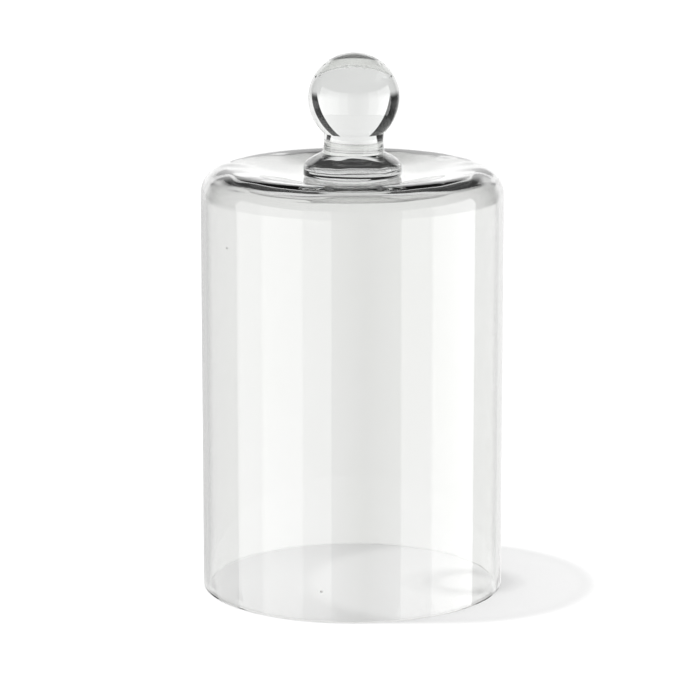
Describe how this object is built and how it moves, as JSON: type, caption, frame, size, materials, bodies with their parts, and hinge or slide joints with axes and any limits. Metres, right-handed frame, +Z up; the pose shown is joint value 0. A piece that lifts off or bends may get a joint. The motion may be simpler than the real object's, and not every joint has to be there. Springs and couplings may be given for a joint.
{
  "type": "bell jar dome",
  "caption": "Free-standing blown-glass bell jar dome with a straight wall, rounded shoulder, dished crown and a solid ball knob on a collar and foot.",
  "frame": {"origin": "centre of the open rim, on the surface the dome stands on", "axes": "+Z up along the dome's axis, from the open rim to the knob; +X and +Y are any two directions across it, because the dome is round"},
  "size_m": [0.15, 0.15, 0.2688],
  "materials": {
    "shell_glass": "clear, fire-polished, with a faint grey-green tint",
    "knob_glass": "clear solid glass, fire-polished"
  },
  "bodies": {
    "root": {"dome_shell": "shell_glass", "knob_foot": "knob_glass", "knob_collar": "knob_glass", "knob_ball": "knob_glass"}
  },
  "joints": []
}
